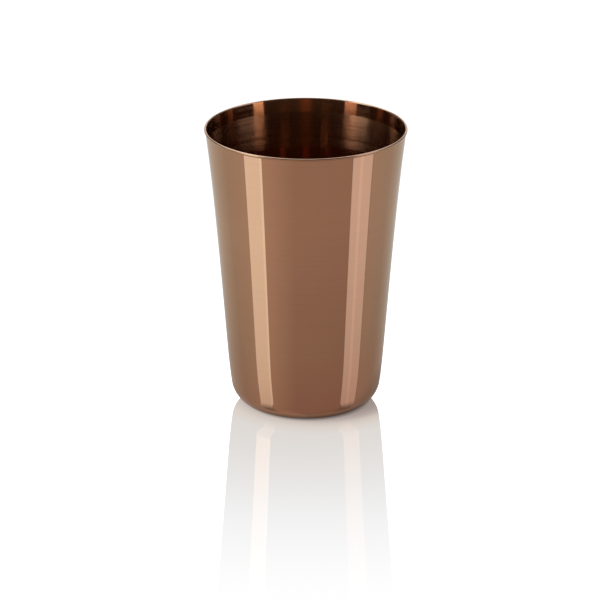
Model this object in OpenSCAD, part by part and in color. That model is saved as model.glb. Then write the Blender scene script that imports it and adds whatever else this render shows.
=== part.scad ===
// Tapered metal cup: one sheet of metal drawn and spun to a round cup with a
// full-radius foot corner, a wall that leans out a little more towards both
// ends, and a small rounded bead round the outside of the lip.  Millimetres,
// +Z up, origin at the centre of the surface that the cup stands on.

/* [Cup] */
// Outer diameter at the lip
lip_d = 87.5; // [70:0.5:110]
// Height from the standing surface to the top of the lip
height = 125; // [100:1:160]
// Thickness of the metal sheet
sheet_t = 0.55; // [0.4:0.05:1]

/* [Wall] */
// Lean of the wall from the vertical at the waist, in degrees
taper_deg = 4.45; // [2:0.05:7]
// Height of the waist, where the wall leans out least
waist_z = 30; // [22:1:45]
// How far the wall bows out above the waist by the time it reaches the lip
top_flare = 1.3; // [0:0.1:4]
// How far the wall would tuck in below the waist by the time it reaches the floor
foot_tuck = 1.2; // [0:0.1:2]

/* [Lip] */
// Thickness of the rounded bead, which stands out from the outside of the wall
bead_t = 0.96; // [0.8:0.04:1.6]

/* [Foot] */
// Outer radius of the corner between wall and base
corner_r = 9.8; // [6:0.2:14]
// How far the middle of the base is pushed up, so that the cup stands on a ring
base_rise = 1.2; // [0.4:0.1:2]
// Inner radius of the flat standing ring
ring_inner_r = 19.5; // [17:0.5:20]
// Width of the slope from the standing ring up to the raised middle
rise_w = 4; // [3:0.5:6]

/* [Hidden] */
$fn = 96;

top_power = 4;      // the flare above the waist grows with this power of the height
tuck_power = 3;     // the tuck below the waist grows with this power of the depth
wall_steps = 30;    // conical bands up the wall
corner_steps = 14;  // bands round the foot corner
bead_steps = 8;     // bands round the bead
rise_steps = 8;     // bands in the slope of the raised base
slope_dz = 0.01;    // height difference used to measure the wall's slope
under_bead = 45;    // slope of the bead's underside, in degrees
bead_r = bead_t / 2;

// Radius that the wall adds between the floor and height z
function lean(z) =
    tan(taper_deg) * z
    + top_flare * pow(max(0, z - waist_z) / (height - waist_z), top_power)
    - foot_tuck * pow(max(0, waist_z - z) / waist_z, tuck_power);

// Lean of the wall from the vertical at height z, in degrees
function wall_lean(z) = atan((lean(z + slope_dz) - lean(z - slope_dz)) / (2 * slope_dz));

// A point of the bead, turn being 0 on its outer side and 90 on top
function bead_point(turn) =
    [lip_d / 2 - bead_r + bead_r * cos(turn), height - bead_r + bead_r * sin(turn)];

// Height at which the wall's inner face runs smoothly into the bead
function inner_end_z(z, passes) =
    passes == 0 ? z
    : inner_end_z(height - bead_r - (sheet_t - bead_r) * sin(wall_lean(z)), passes - 1);

inner_top_z = inner_end_z(height, 6);
lip_lean = wall_lean(inner_top_z);

// Outer radius of the wall at height z, set by the diameter at the lip
function wall_r(z) =
    lip_d / 2 - bead_r + (sheet_t - bead_r) * cos(lip_lean) - lean(inner_top_z) + lean(z);

// Height at which the wall's outer face meets the underside of the bead
function outer_end_z(z, passes) =
    passes == 0 ? z
    : outer_end_z(bead_point(-under_bead)[1]
        - (bead_point(-under_bead)[0] - wall_r(z)) / tan(under_bead), passes - 1);

outer_top_z = outer_end_z(height, 6);

// Height at which the foot corner runs smoothly into the wall
function tangent_z(z, passes) =
    passes == 0 ? z : tangent_z(corner_r * (1 - sin(wall_lean(z))), passes - 1);

wall_start_z = tangent_z(corner_r, 6);
corner_lean = wall_lean(wall_start_z);
corner_axis_r = wall_r(wall_start_z) - corner_r * cos(corner_lean);

// A point of the wall, depth below its outer face and square to it
function wall_point(z, depth) =
    [wall_r(z) - depth * cos(wall_lean(z)), z + depth * sin(wall_lean(z))];

// A point of the foot corner, a being 0 where it leaves the base and 1 at the wall
function corner_point(a, depth) =
    let (turn = -90 + a * (90 - corner_lean), r = corner_r - depth)
    [corner_axis_r + r * cos(turn), corner_r + r * sin(turn)];

// Share of base_rise that the base has at radius r
function rise_share(r) =
    let (t = min(1, max(0, (ring_inner_r - r) / rise_w))) t * t * (3 - 2 * t);

// One face of the cup, from the middle of the base up the wall to height top_z
function face(depth, top_z) = concat(
    [[0, base_rise + depth]],
    [for (i = [rise_steps:-1:0])
        let (r = ring_inner_r - rise_w * i / rise_steps)
        [r, base_rise * rise_share(r) + depth]],
    [for (i = [0:corner_steps - 1]) corner_point(i / corner_steps, depth)],
    [for (i = [0:wall_steps])
        wall_point(wall_start_z + (top_z - wall_start_z) * i / wall_steps, depth)]
);

// The bead, from its underside over the top to the inner face of the wall
function bead() =
    [for (i = [0:bead_steps - 1])
        bead_point(-under_bead + (180 - lip_lean + under_bead) * i / bead_steps)];

// Points in the opposite order
function reversed(points) = [for (i = [len(points) - 1:-1:0]) points[i]];

module cup() {
    color([0.72, 0.45, 0.33])
        rotate_extrude()
            polygon(concat(
                face(0, outer_top_z), bead(), reversed(face(sheet_t, inner_top_z))));
}

cup();
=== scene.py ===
"""Looks of the tapered metal cup: the finished sheet-metal shape, its copper finish and a studio."""

import math

import bpy
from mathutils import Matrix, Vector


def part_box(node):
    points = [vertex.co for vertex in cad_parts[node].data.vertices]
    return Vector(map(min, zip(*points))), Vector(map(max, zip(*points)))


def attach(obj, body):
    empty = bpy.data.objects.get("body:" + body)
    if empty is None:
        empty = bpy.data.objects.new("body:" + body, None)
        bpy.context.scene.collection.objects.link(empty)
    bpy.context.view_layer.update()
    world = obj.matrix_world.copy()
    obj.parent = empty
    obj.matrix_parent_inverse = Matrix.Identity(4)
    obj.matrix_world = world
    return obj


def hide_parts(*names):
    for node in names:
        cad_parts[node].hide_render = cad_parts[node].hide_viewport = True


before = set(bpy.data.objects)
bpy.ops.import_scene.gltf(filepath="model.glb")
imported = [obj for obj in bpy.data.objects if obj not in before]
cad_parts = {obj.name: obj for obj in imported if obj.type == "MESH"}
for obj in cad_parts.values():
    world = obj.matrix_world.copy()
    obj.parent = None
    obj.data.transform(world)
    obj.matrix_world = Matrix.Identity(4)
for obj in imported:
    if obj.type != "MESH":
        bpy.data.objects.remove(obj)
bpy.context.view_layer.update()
scene = bpy.context.scene

# Sizes, in metres. The lip's radius and the height come from the frame, the rest repeat part.scad.
low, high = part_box("cup")
LIP_R = min(high.x, high.y, -low.x, -low.y)
HEIGHT = high.z
SHEET = 0.00055
TAPER = math.radians(4.45)
WAIST_Z, TOP_FLARE, FOOT_TUCK = 0.030, 0.0013, 0.0012
TOP_POWER, TUCK_POWER = 4, 3
BEAD_R, UNDER_BEAD = 0.00048, math.radians(45)
CORNER_R = 0.0098
BASE_RISE, RING_INNER_R, RISE_W = 0.0012, 0.0195, 0.004

# How finely the shape is divided
ROUND_THE_CUP = 320     # faces round the cup
MIDDLE_R = 0.0006       # radius of the small fan of faces that closes the middle of the base
BASE_ROWS, RISE_ROWS, RING_ROWS = 8, 12, 3   # rows of the raised base, of its slope and of the ring
CORNER_ROWS, WALL_ROWS, BEAD_ROWS = 28, 36, 16
BEAD_SIDE = 5           # rows of the bead that have the wall's colour; the rest have the lighter copper of the painted lip highlight
GUARD = 0.00004         # narrow bands that keep the smooth shading of curves out of the wall
SLOPE_DZ = 0.00001      # height difference used to measure the wall's slope
PASSES = 8              # passes that settle where two curves meet


# ---------------------------------------------------------------- shape of the cup

def lean(z):
    """Radius that the wall adds between the floor and height z."""
    above = max(0.0, z - WAIST_Z) / (HEIGHT - WAIST_Z)
    below = max(0.0, WAIST_Z - z) / WAIST_Z
    return (math.tan(TAPER) * z + TOP_FLARE * above ** TOP_POWER
            - FOOT_TUCK * below ** TUCK_POWER)


def wall_lean(z):
    """Lean of the wall from the vertical at height z."""
    return math.atan((lean(z + SLOPE_DZ) - lean(z - SLOPE_DZ)) / (2 * SLOPE_DZ))


def settled(z, step):
    """The height that step() comes to rest at."""
    for _ in range(PASSES):
        z = step(z)
    return z


INNER_TOP_Z = settled(HEIGHT, lambda z: HEIGHT - BEAD_R - (SHEET - BEAD_R) * math.sin(wall_lean(z)))
LIP_LEAN = wall_lean(INNER_TOP_Z)


def wall_r(z):
    """Outer radius of the wall at height z."""
    return LIP_R - BEAD_R + (SHEET - BEAD_R) * math.cos(LIP_LEAN) - lean(INNER_TOP_Z) + lean(z)


def bead_point(turn):
    """A point of the bead round the lip, turn being 0 on its outer side."""
    return LIP_R - BEAD_R + BEAD_R * math.cos(turn), HEIGHT - BEAD_R + BEAD_R * math.sin(turn)


BEAD_FOOT_R, BEAD_FOOT_Z = bead_point(-UNDER_BEAD)
OUTER_TOP_Z = settled(HEIGHT, lambda z: BEAD_FOOT_Z - (BEAD_FOOT_R - wall_r(z)) / math.tan(UNDER_BEAD))
WALL_START_Z = settled(CORNER_R, lambda z: CORNER_R * (1 - math.sin(wall_lean(z))))
CORNER_LEAN = wall_lean(WALL_START_Z)
CORNER_AXIS_R = wall_r(WALL_START_Z) - CORNER_R * math.cos(CORNER_LEAN)


def spread(start, end, count):
    """count + 1 even steps from start to end."""
    return [start + (end - start) * i / count for i in range(count + 1)]


def wall_point(z, depth):
    """A point of the wall, depth below its outer face."""
    return wall_r(z) - depth * math.cos(wall_lean(z)), z + depth * math.sin(wall_lean(z))


def corner_point(share, depth):
    """A point of the foot corner, from the base at share 0 to the wall at share 1."""
    turn = -math.pi / 2 + share * (math.pi / 2 - CORNER_LEAN)
    radius = CORNER_R - depth
    return CORNER_AXIS_R + radius * math.cos(turn), CORNER_R + radius * math.sin(turn)


def base_point(r, depth):
    """A point of the base, which is pushed up in the middle."""
    t = min(1.0, max(0.0, (RING_INNER_R - r) / RISE_W))
    return r, BASE_RISE * t * t * (3 - 2 * t) + depth


def face_points(depth, top_z):
    """One face of the cup, from near the middle of the base up the wall to height top_z."""
    middle = [base_point(r, depth) for r in spread(MIDDLE_R, RING_INNER_R - RISE_W, BASE_ROWS)]
    slope = [base_point(r, depth) for r in spread(RING_INNER_R - RISE_W, RING_INNER_R, RISE_ROWS)]
    ring = [base_point(r, depth) for r in spread(RING_INNER_R, CORNER_AXIS_R, RING_ROWS)]
    corner = [corner_point(share, depth) for share in spread(0, 1, CORNER_ROWS)]
    heights = spread(WALL_START_Z, top_z, WALL_ROWS)
    heights = heights[:1] + [WALL_START_Z + GUARD] + heights[1:-1] + [top_z - GUARD, top_z]
    wall = [wall_point(z, depth) for z in heights]
    return middle + slope[1:] + ring[1:] + corner[1:] + wall[1:]


def bead_points():
    """The bead, from its underside over the top to the inner face of the wall."""
    return [bead_point(turn) for turn in spread(-UNDER_BEAD, math.pi - LIP_LEAN, BEAD_ROWS)[:-1]]


def ring_of(r, z):
    """Points round the axis at radius r and height z."""
    return [(r * math.cos(2 * math.pi * i / ROUND_THE_CUP),
             r * math.sin(2 * math.pi * i / ROUND_THE_CUP), z) for i in range(ROUND_THE_CUP)]


def cup_mesh():
    """The cup's skin as one closed mesh. Materials: 0 outside, 1 bead's side, 2 its top, 3 inside."""
    outer, edge = face_points(0, OUTER_TOP_Z), bead_points()
    inner = face_points(SHEET, INNER_TOP_Z)[::-1]
    profile = outer + edge + inner
    verts = [p for r, z in profile for p in ring_of(r, z)]
    starts = len(outer) - 1, len(outer) + BEAD_SIDE, len(outer) + len(edge)
    faces, finish = [], []
    for row in range(len(profile) - 1):
        part = sum(row >= start for start in starts)
        for i in range(ROUND_THE_CUP):
            j = (i + 1) % ROUND_THE_CUP
            a, b = row * ROUND_THE_CUP, (row + 1) * ROUND_THE_CUP
            faces.append((a + i, a + j, b + j, b + i))
            finish.append(part)
    for row, z, under in ((0, outer[0][1], True), (len(profile) - 1, inner[-1][1], False)):
        middle = len(verts)
        verts.append((0, 0, z))
        for i in range(ROUND_THE_CUP):
            j = (i + 1) % ROUND_THE_CUP
            a, b = row * ROUND_THE_CUP + i, row * ROUND_THE_CUP + j
            faces.append((b, a, middle) if under else (a, b, middle))
            finish.append(0 if under else len(starts))
    mesh = bpy.data.meshes.new("cup_skin")
    mesh.from_pydata(verts, [], faces)
    mesh.polygons.foreach_set("use_smooth", [True] * len(faces))
    mesh.polygons.foreach_set("material_index", finish)
    mesh.update()
    return mesh


# ---------------------------------------------------------------- node trees

class Nodes:
    """Short hand for building a node tree."""

    def __init__(self, tree):
        self.tree = tree
        tree.nodes.clear()

    def add(self, kind, inputs=None, **settings):
        """A new node, with its inputs linked or set."""
        node = self.tree.nodes.new(kind)
        for key, value in settings.items():
            setattr(node, key, value)
        for key, value in (inputs or {}).items():
            self.put(node.inputs[key], value)
        return node

    def put(self, socket, value):
        """Link another node's output to a socket, or set the socket's own value."""
        if isinstance(value, bpy.types.NodeSocket):
            self.tree.links.new(value, socket)
        else:
            socket.default_value = value

    def math(self, operation, *values, clamp=False):
        """The result of one Math node."""
        node = self.add("ShaderNodeMath", operation=operation, use_clamp=clamp)
        for socket, value in zip(node.inputs, values):
            self.put(socket, value)
        return node.outputs[0]

    def times(self, first, *others):
        """Numbers multiplied."""
        product = first
        for other in others:
            product = self.math("MULTIPLY", product, other)
        return product

    def tinted(self, colour, tint):
        """Two colours multiplied."""
        return self.add("ShaderNodeVectorMath", {0: colour, 1: tint}, operation="MULTIPLY").outputs[0]

    def distance(self, place, centre):
        """How far a place is from a centre."""
        node = self.add("ShaderNodeVectorMath", {0: place, 1: centre}, operation="DISTANCE")
        return node.outputs["Value"]

    def span(self, value, low_in, high_in, low_out, high_out, smooth=False):
        """A value that goes from low_out to high_out as the one given goes from low_in to high_in."""
        node = self.add("ShaderNodeMapRange", {
            "Value": value, "From Min": low_in, "From Max": high_in,
            "To Min": low_out, "To Max": high_out})
        if smooth:
            node.interpolation_type = "SMOOTHSTEP"
        return node.outputs["Result"]

    def ramp(self, value, stops):
        """A colour that changes with a value, from pairs of a value and its colour."""
        start, end = stops[0][0], stops[-1][0]
        node = self.add("ShaderNodeValToRGB", {"Fac": self.span(value, start, end, 0, 1)})
        elements = node.color_ramp.elements
        while len(elements) < len(stops):
            elements.new(0.5)
        for element, (place, colour) in zip(elements, stops):
            element.position = (place - start) / (end - start)
            element.color = (*colour, 1)
        return node.outputs["Color"]

    def window(self, value, start, end, soft):
        """1 between start and end, fading to 0 over soft on both sides."""
        rise = self.span(value, start - soft / 2, start + soft / 2, 0, 1, smooth=True)
        fall = self.span(value, end - soft / 2, end + soft / 2, 1, 0, smooth=True)
        return self.times(rise, fall)


# ---------------------------------------------------------------- materials

# Linear colours of the metal, and a lighter copper for the bead's top that paints a highlight along the
# lip
COPPER = (0.70, 0.42, 0.28)
LIP_HIGHLIGHT_COPPER = (0.86, 0.68, 0.60)
TONES = (0.97, 1.02)            # how much darker and lighter a colour is in places
TONE_NOISE = (0.35, 0.65)       # levels of noise that give those tones
CLOUD_SCALE, CLOUD_DETAIL = 45.0, 2.0   # of the noise that isn't drawn out to rings

# Rings that turning and polishing leave, drawn out round the axis
ACROSS_SCALE = 6                # of their noise, across the axis
TURNED, TURNED_INSIDE = 900.0, 1400.0   # scales along the axis
HAZE_RINGS = 14000.0
DETAILED, PLAIN = 4.0, 1.0      # how much fine detail their noise has
RING_NOISE = (0.3, 0.7)         # levels of ring noise that give the lowest and highest roughness

# Lowest and highest roughness, and how high the rings stand, in metres
WALL_ROUGH, WALL_RELIEF = (0.02, 0.04), 0.0000002
BEAD_ROUGH, BEAD_RELIEF = (0.18, 0.24), 0.000001
INSIDE_ROUGH, INSIDE_RELIEF = (0.04, 0.27), 0.0000005
UP_AND_DOWN = 0.25              # a quarter turn, so that the inside's haze spreads up and down only

# Finish of the inside: a brighter band by the lip, then a hazy band, then a bright finish again.
# The depths are below the lip, and the levels are the shares of ring noise that stay bright.
BRIGHT_BAND, HAZE_END = 0.006, 0.0212
IN_BAND, HAZE_TOP, HAZE_DEEP, BELOW = 0.62, 0.42, 0.52, 0.68
BAND_SOFT = 0.0005              # how softly one finish goes over into the next
BELOW_SOFT = 0.0015             # and on the lower side of the hazy band
RING_EDGE = 0.06                # how softly a ring goes from bright to hazy


def rings(n, scale_z, detail):
    """Noise drawn out round the axis: fine rings such as turning and polishing leave."""
    place = n.add("ShaderNodeTexCoord").outputs["Object"]
    scale = (ACROSS_SCALE, ACROSS_SCALE, scale_z)
    squeeze = n.add("ShaderNodeMapping", {"Vector": place, "Scale": scale})
    noise = n.add("ShaderNodeTexNoise", {"Vector": squeeze.outputs[0], "Scale": 1.0, "Detail": detail})
    return noise.outputs["Fac"]


def polished(n, low_rough, high_rough):
    """Roughness of a polished face, which varies a little from ring to ring."""
    return n.span(rings(n, TURNED, DETAILED), *RING_NOISE, low_rough, high_rough)


def brushed(n, low_rough, high_rough):
    """Roughness of the inside: bright by the lip, then hazy rings, then bright again."""
    place = n.add("ShaderNodeTexCoord").outputs["Object"]
    z = n.add("ShaderNodeSeparateXYZ", {0: place}).outputs["Z"]
    depth = n.math("SUBTRACT", HEIGHT, z)
    band = n.span(depth, BRIGHT_BAND - BAND_SOFT, BRIGHT_BAND + BAND_SOFT, IN_BAND - HAZE_TOP, 0)
    hazy = n.span(depth, BRIGHT_BAND, HAZE_END, HAZE_TOP, HAZE_DEEP)
    below = n.span(depth, HAZE_END - BAND_SOFT, HAZE_END + BELOW_SOFT, 0, BELOW - HAZE_DEEP)
    bright = n.math("ADD", hazy, n.math("ADD", band, below))
    level = n.math("SUBTRACT", rings(n, HAZE_RINGS, PLAIN), bright)
    return n.span(level, -RING_EDGE, RING_EDGE, low_rough, high_rough)


def metal(name, colour, finish, rough, ring_scale, relief, anisotropy=0.0):
    """Polished metal with faint rings from turning, which show in its gloss, tone and surface."""
    material = bpy.data.materials.new(name)
    material.use_nodes = True
    n = Nodes(material.node_tree)
    fine = rings(n, ring_scale, DETAILED)
    place = n.add("ShaderNodeTexCoord").outputs["Object"]
    noise = {"Vector": place, "Scale": CLOUD_SCALE, "Detail": CLOUD_DETAIL}
    cloud = n.add("ShaderNodeTexNoise", noise).outputs["Fac"]
    tone = n.math("ADD", n.times(fine, 0.5), n.times(cloud, 0.5))
    colours = [tuple(min(1.0, c * factor) for c in colour) for factor in TONES]
    bump = n.add("ShaderNodeBump", {"Height": fine, "Strength": 1.0, "Distance": relief})
    around = n.add("ShaderNodeTangent", direction_type="RADIAL", axis="Z").outputs[0]
    shader = n.add("ShaderNodeBsdfPrincipled", {
        "Base Color": n.ramp(tone, list(zip(TONE_NOISE, colours))), "Metallic": 1.0,
        "Roughness": finish(n, *rough), "Normal": bump.outputs[0],
        "Anisotropic": anisotropy, "Anisotropic Rotation": UP_AND_DOWN, "Tangent": around})
    n.add("ShaderNodeOutputMaterial", {"Surface": shader.outputs[0]})
    return material


# ---------------------------------------------------------------- floor

FLOOR_SIZE = 8.0
FLOOR_Z = -0.0001               # just clear of the ring that the cup stands on
AXIS = (0.0, 0.0, 0.0)

# Each of these is two distances from the axis, and a level at each
FLOOR_GLOW_SHADED = (0.005, 0.225, 0.705, 1.0)   # its glow to the camera, dimmed near the cup as painted shade
FLOOR_GLOSS = (0.03, 0.23, 0.11, 0.015)   # how much it mirrors
MORE_GLOSS = (0.029, 0.041, 0.08, 0)      # how much more it mirrors next to the cup

# Colours at distances from the axis, or from the middle of a shadow
WHITE = (1, 1, 1)
# The floor's tint near the cup is a painted warm shade, neutral farther out
WARM_SHADE_TONES = [(0.05, (1, 0.955, 0.92)), (0.125, WHITE)]
SHADOW_AT = (0.006, 0.008, 0.0)       # middle of the soft shadow that the left light throws
SHADOW = [
    (0.026, (0.44, 0.38, 0.36)), (0.03032, (0.51, 0.44, 0.42)), (0.03416, (0.64, 0.56, 0.54)),
    (0.038, (0.86, 0.80, 0.76)), (0.04208, (0.96, 0.91, 0.87)), (0.050, WHITE)]
CONTACT_AT = (0.0009, 0.0005, 0.0)    # middle of the painted contact shadow, a dark line where the cup meets the floor
CONTACT = (0.0240, 0.0280, 0.12, 1)   # two distances from there, and how bright the floor is at them under that painted contact shadow
CONTACT_SHADE = [(0.0245, (0.08, 0.06, 0.05)), (0.0273, (0.38, 0.32, 0.29)), (0.0315, WHITE)]
SHADE_AT = (0.008, 0.016, 0.0)        # middle of the soft shadow, as the cup mirrors it
SHADE = [
    (0.0336, (0.50, 0.44, 0.43)), (0.05106, (0.78, 0.695, 0.68)), (0.10506, (0.86, 0.855, 0.845)),
    (0.21, WHITE)]


def floor_mesh():
    """A level square."""
    half = FLOOR_SIZE / 2
    mesh = bpy.data.meshes.new("floor")
    corners = [(-half, -half, 0), (half, -half, 0), (half, half, 0), (-half, half, 0)]
    mesh.from_pydata(corners, [], [(0, 1, 2, 3)])
    return mesh


def seen_floor(n, place):
    """The floor to the camera: a white glow with painted shade near the cup, the cup's shadow and a mirror
    image that fades.
    """
    away = n.distance(place, AXIS)
    shadow = n.ramp(n.distance(place, SHADOW_AT), SHADOW)
    # Painted contact shadow: a dark line round the ring that the cup stands on
    contact = n.span(n.distance(place, CONTACT_AT), *CONTACT)
    # Painted shade: the floor's glow dims towards the cup and in the dark contact line
    level = n.times(contact, n.span(away, *FLOOR_GLOW_SHADED, smooth=True))
    # The painted shadow's colour, with the painted warm shade near the cup
    colour = n.tinted(shadow, n.ramp(away, WARM_SHADE_TONES))
    glow = n.add("ShaderNodeEmission", {"Color": colour, "Strength": level})
    mirror = n.math("ADD", n.span(away, *FLOOR_GLOSS), n.span(away, *MORE_GLOSS))
    gloss = n.add("ShaderNodeBsdfGlossy", {"Color": mirror, "Roughness": 0.0})
    return n.add("ShaderNodeAddShader", {0: glow.outputs[0], 1: gloss.outputs[0]}).outputs[0]


def shade_only(n, place):
    """The floor to the cup's reflections: clear, so that they meet the world, but for its shadow."""
    contact = n.ramp(n.distance(place, CONTACT_AT), CONTACT_SHADE)
    shade = n.ramp(n.distance(place, SHADE_AT), SHADE)
    return n.add("ShaderNodeBsdfTransparent", {"Color": n.tinted(contact, shade)}).outputs[0]


def make_floor():
    """A glossy white floor, which is clear from below."""
    floor = bpy.data.objects.new("floor", floor_mesh())
    scene.collection.objects.link(floor)
    floor.location.z = FLOOR_Z
    material = bpy.data.materials.new("floor_gloss")
    material.use_nodes = True
    n = Nodes(material.node_tree)
    place = n.add("ShaderNodeTexCoord").outputs["Object"]
    is_camera = n.add("ShaderNodeLightPath").outputs["Is Camera Ray"]
    under = n.add("ShaderNodeNewGeometry").outputs["Backfacing"]
    clear = n.add("ShaderNodeBsdfTransparent").outputs[0]
    top = n.add("ShaderNodeMixShader", {0: is_camera, 1: shade_only(n, place), 2: seen_floor(n, place)})
    shown = n.add("ShaderNodeMixShader", {0: under, 1: top.outputs[0], 2: clear})
    n.add("ShaderNodeOutputMaterial", {"Surface": shown.outputs[0]})
    floor.data.materials.append(material)


# ---------------------------------------------------------------- studio

# Angles are in degrees. An azimuth is 0 at the camera's side of the cup and 90 at +X, and an
# elevation is 0 level. A depth counts a ray's bounces from 1 for the camera's own rays.
FIRST_DEPTHS = 2.5              # below this, a ray has met at most one mirror

# The strip lights: azimuths of the edges and how softly they end, azimuths of a brighter line
# within, and the brightness below the horizon, above it, and above it after more bounces
LEFT_STRIP = {"edges": (-80, -55), "soft": 1.0, "streak": (-58.5, -55.5), "levels": (1.06, 1.6, 2.6)}
RIGHT_STRIP = {"edges": (59, 88.5), "soft": 2.0, "streak": (69.5, 74.0), "levels": (0.75, 0.6, 1.45)}
STREAK, STREAK_SOFT = 0.12, 1.0
LATER_LOWER = 1.6               # how much brighter they are below the horizon after more bounces
HORIZON = (2, 7)                # elevations that their two levels change over between
STRIPS_FROM = (-72, -28)        # elevations that they fade in between
STRIPS_TO, TOP_FALL = 126, 1.5  # their highest elevation: the first, over depth to the power of the second
TOP_SOFT, FAINT = 2.0, 0.06     # half of what they fade over there, and how much is left above that
THIRD_DEPTH, THIRD = 4.0, 0.55  # depth of the third bounce, and how much of them it keeps
LOST_DEPTH = 5.5                # above this depth, nothing of them is left
BENT = (-56, -35, 0.74, 1)      # two elevations, and what azimuths are multiplied by there, so
                                # that the strips and the room spread to the sides low down

# Colours of the lights, by sideways direction
LIGHTS = [(-0.1, (0.94, 0.99, 0.95)), (0.1, (1.04, 1.0, 1.0))]
WARMER = (1.06, 0.87, 0.72)     # tint of the light from above the horizon, in the first reflection
WARM_FROM = (3, 8)              # elevations that the tint comes in between

# The light above and behind the cup, which only the first reflection has
OVERHEAD = (1.25, 0.65)         # its levels at the left and the right
OVERHEAD_FROM = (28, 40)        # elevations that it fades in between
OVERHEAD_TURN = (-0.25, 0)      # sideways directions that its levels change over between
OVERHEAD_BEHIND = (0.0, 0.1)    # it is behind the cup only, and fades in between these directions
COVE = (150, 160)               # azimuths that a bright strip right behind the cup fades in between

# The room, by azimuth, and how dim more bounces see it
ROOM = [
    (-180, (0.62, 0.62, 0.60)), (-140.4, (0.50, 0.51, 0.47)), (-111.6, (0.44, 0.41, 0.36)),
    (-81, (0.50, 0.44, 0.385)), (-50.4, (0.50, 0.41, 0.35)), (-14.4, (0.38, 0.30, 0.26)),
    (57.6, (0.37, 0.29, 0.25)), (90, (0.46, 0.41, 0.37)), (122.4, (0.42, 0.40, 0.36)),
    (144, (0.47, 0.49, 0.46)), (180, (0.62, 0.62, 0.60))]
ROOM_LATER = 0.35
ROOM_TOP = (0, 8)               # elevations that the room gives way to the ceiling between

# The dark ceiling, by how far to the side or the front it is, with a little brown light elsewhere
CEILING = [(0.1, (0.20, 0.115, 0.06)), (0.3, (0.05, 0.05, 0.045))]
FRONT = -0.5                    # direction to the front in which the ceiling is at its darkest
CEILING_FIRST = 0.06            # how much of it the first reflection has

BACKDROP = 8.0                  # the blown-out white that the floor mirrors
TO_CAMERA = 2.0                 # the white that the camera sees
HIDES_ROOM = 0.3                # brightness from which a light hides the room


class Sky(Nodes):
    """The world's node tree, with the direction that a ray leaves in and the way it came."""

    def __init__(self, tree):
        super().__init__(tree)
        place = self.add("ShaderNodeTexCoord").outputs["Generated"]
        self.x, self.y, z = self.add("ShaderNodeSeparateXYZ", {0: place}).outputs
        self.azimuth = self.math("DEGREES", self.math("ARCTAN2", self.x, self.times(self.y, -1.0)))
        self.up = self.math("DEGREES", self.math("ARCSINE", z))
        self.bent = self.times(self.azimuth, self.span(self.up, *BENT))
        self.over_floor = self.math("GREATER_THAN", self.up, 0.0)
        path = self.add("ShaderNodeLightPath").outputs
        self.depth, self.is_camera = path["Ray Depth"], path["Is Camera Ray"]
        self.first = self.math("LESS_THAN", self.depth, FIRST_DEPTHS)
        # Only the floor mirrors with no roughness at all, which makes a ray a singular one
        self.is_floor_mirror = path["Is Singular Ray"]

    def by_bounce(self, at_first, later):
        """One level for the first reflection, and another after more bounces."""
        return self.span(self.first, 0, 1, later, at_first)


def strip_light(n, edges, soft, streak, levels):
    """A tall strip light with a brighter line in it."""
    line = n.times(n.window(n.bent, *streak, STREAK_SOFT), STREAK)
    across = n.math("ADD", n.window(n.bent, *edges, soft), line)
    lower = n.by_bounce(levels[0], LATER_LOWER * levels[0])
    upper = n.by_bounce(levels[1], levels[2])
    return n.times(across, n.span(n.up, *HORIZON, lower, upper, smooth=True))


def strip_lights(n):
    """Both strip lights, which reach less high, and then die out, with more bounces."""
    both = n.math("ADD", strip_light(n, **LEFT_STRIP), strip_light(n, **RIGHT_STRIP))
    top = n.math("DIVIDE", STRIPS_TO, n.math("POWER", n.depth, TOP_FALL))
    over_top = n.math("SUBTRACT", n.up, top)
    height = n.times(n.span(over_top, -TOP_SOFT, TOP_SOFT, 1, FAINT, smooth=True),
                     n.span(n.up, *STRIPS_FROM, 0, 1, smooth=True))
    not_lost = n.math("LESS_THAN", n.depth, LOST_DEPTH)
    third = n.span(n.math("COMPARE", n.depth, THIRD_DEPTH, 0.5), 0, 1, 1, THIRD)
    return n.times(both, height, not_lost, third)


def lights_behind(n):
    """The light above and behind the cup, and the bright strip right behind it."""
    overhead = n.times(n.span(n.up, *OVERHEAD_FROM, 0, 1, smooth=True),
                       n.span(n.x, *OVERHEAD_TURN, *OVERHEAD),
                       n.span(n.y, *OVERHEAD_BEHIND, 0, 1))
    cove = n.span(n.math("ABSOLUTE", n.azimuth), *COVE, 0, OVERHEAD[1], smooth=True)
    return n.times(n.math("MAXIMUM", overhead, n.times(n.over_floor, cove)), n.first)


def white_around(n):
    """The white background, to the camera and to the floor's mirror."""
    mirrored = n.times(n.over_floor, n.is_floor_mirror, BACKDROP)
    return n.math("MAXIMUM", mirrored, n.times(n.is_camera, TO_CAMERA))


def light_colour(n):
    """Colour of the lights, cooler at the left, and warmer above the horizon."""
    glossy = n.math("SUBTRACT", n.first, n.is_floor_mirror, clamp=True)
    warm = n.times(glossy, n.span(n.up, *WARM_FROM, 0, 1))
    return n.tinted(n.ramp(n.x, LIGHTS), n.ramp(warm, [(0.0, WHITE), (1.0, WARMER)]))


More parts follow.
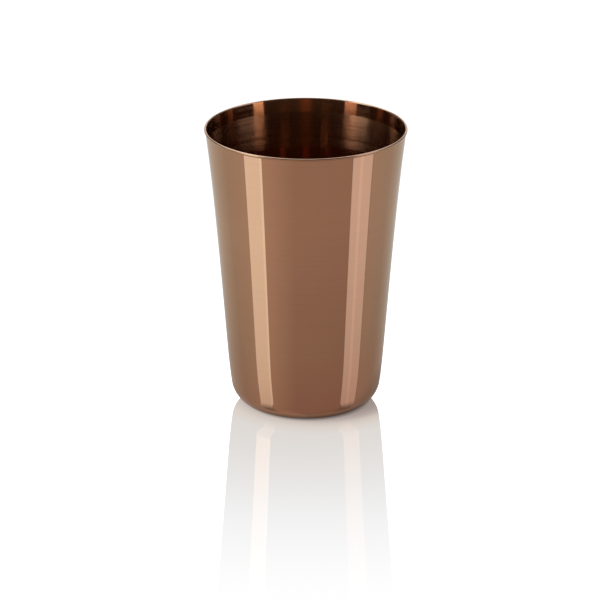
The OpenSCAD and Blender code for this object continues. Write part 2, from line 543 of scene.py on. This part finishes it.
def dim_room(n):
    """The room below a level line, and the dark ceiling above it."""
    room_level = n.times(n.span(n.up, *ROOM_TOP, 1, 0, smooth=True), n.by_bounce(1.0, ROOM_LATER))
    room = n.add("ShaderNodeBackground", {"Color": n.ramp(n.bent, ROOM), "Strength": room_level})
    to_front = n.span(n.y, FRONT, 0, CEILING[-1][0], 0)
    aside = n.math("MAXIMUM", n.math("ABSOLUTE", n.x), to_front)
    high_level = n.times(n.span(n.up, *ROOM_TOP, 0, 1), n.by_bounce(CEILING_FIRST, 1))
    ceiling = n.add("ShaderNodeBackground", {"Color": n.ramp(aside, CEILING), "Strength": high_level})
    return n.add("ShaderNodeAddShader", {0: room.outputs[0], 1: ceiling.outputs[0]}).outputs[0]


def make_world():
    """White to the camera. The cup sees two strip lights, a grey room and a dark ceiling."""
    world = bpy.data.worlds.new("studio")
    scene.world = world
    world.use_nodes = True
    n = Sky(world.node_tree)
    level = n.math("MAXIMUM", n.math("MAXIMUM", strip_lights(n), lights_behind(n)), white_around(n))
    light = n.add("ShaderNodeBackground", {"Color": light_colour(n), "Strength": level})
    hides = n.span(level, 0, HIDES_ROOM, 0, 1)
    shown = n.add("ShaderNodeMixShader", {0: hides, 1: dim_room(n), 2: light.outputs[0]})
    n.add("ShaderNodeOutputWorld", {"Surface": shown.outputs[0]})


# ---------------------------------------------------------------- camera, cup and scene

CAMERA_AT = (-0.0025, -1.4016, 0.5727)   # in metres, a little left of the cup's axis
CAMERA_DOWN = 20.6              # degrees that it looks down
SENSOR, LENS = 36.0, 205.3      # in millimetres
FARTHEST = 60.0                 # past the far corners of the floor


def make_camera():
    """A long lens from a little above, as a product photograph is taken."""
    data = bpy.data.cameras.new("camera")
    data.sensor_width, data.lens = SENSOR, LENS
    data.clip_end = FARTHEST
    camera = bpy.data.objects.new("camera", data)
    scene.collection.objects.link(camera)
    camera.location = CAMERA_AT
    camera.rotation_euler = (math.radians(90 - CAMERA_DOWN), 0, 0)
    scene.camera = camera


def make_cup():
    """The finished cup, which stands for the CAD solid."""
    cup = bpy.data.objects.new("cup_finished", cup_mesh())
    scene.collection.objects.link(cup)
    for material in (
            metal("copper_polished", COPPER, polished, WALL_ROUGH, TURNED, WALL_RELIEF),
            metal("copper_bead", COPPER, polished, BEAD_ROUGH, TURNED, BEAD_RELIEF),
            # the bead's top has a lighter copper: a painted highlight along the lip
            metal("copper_edge", LIP_HIGHLIGHT_COPPER, polished, BEAD_ROUGH, TURNED, BEAD_RELIEF),
            metal("copper_inside", COPPER, brushed, INSIDE_ROUGH, TURNED_INSIDE, INSIDE_RELIEF, 1.0)):
        cup.data.materials.append(material)
    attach(cup, "root")
    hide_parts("cup")


make_camera()
make_cup()
make_floor()
make_world()
scene.view_settings.view_transform = "Standard"
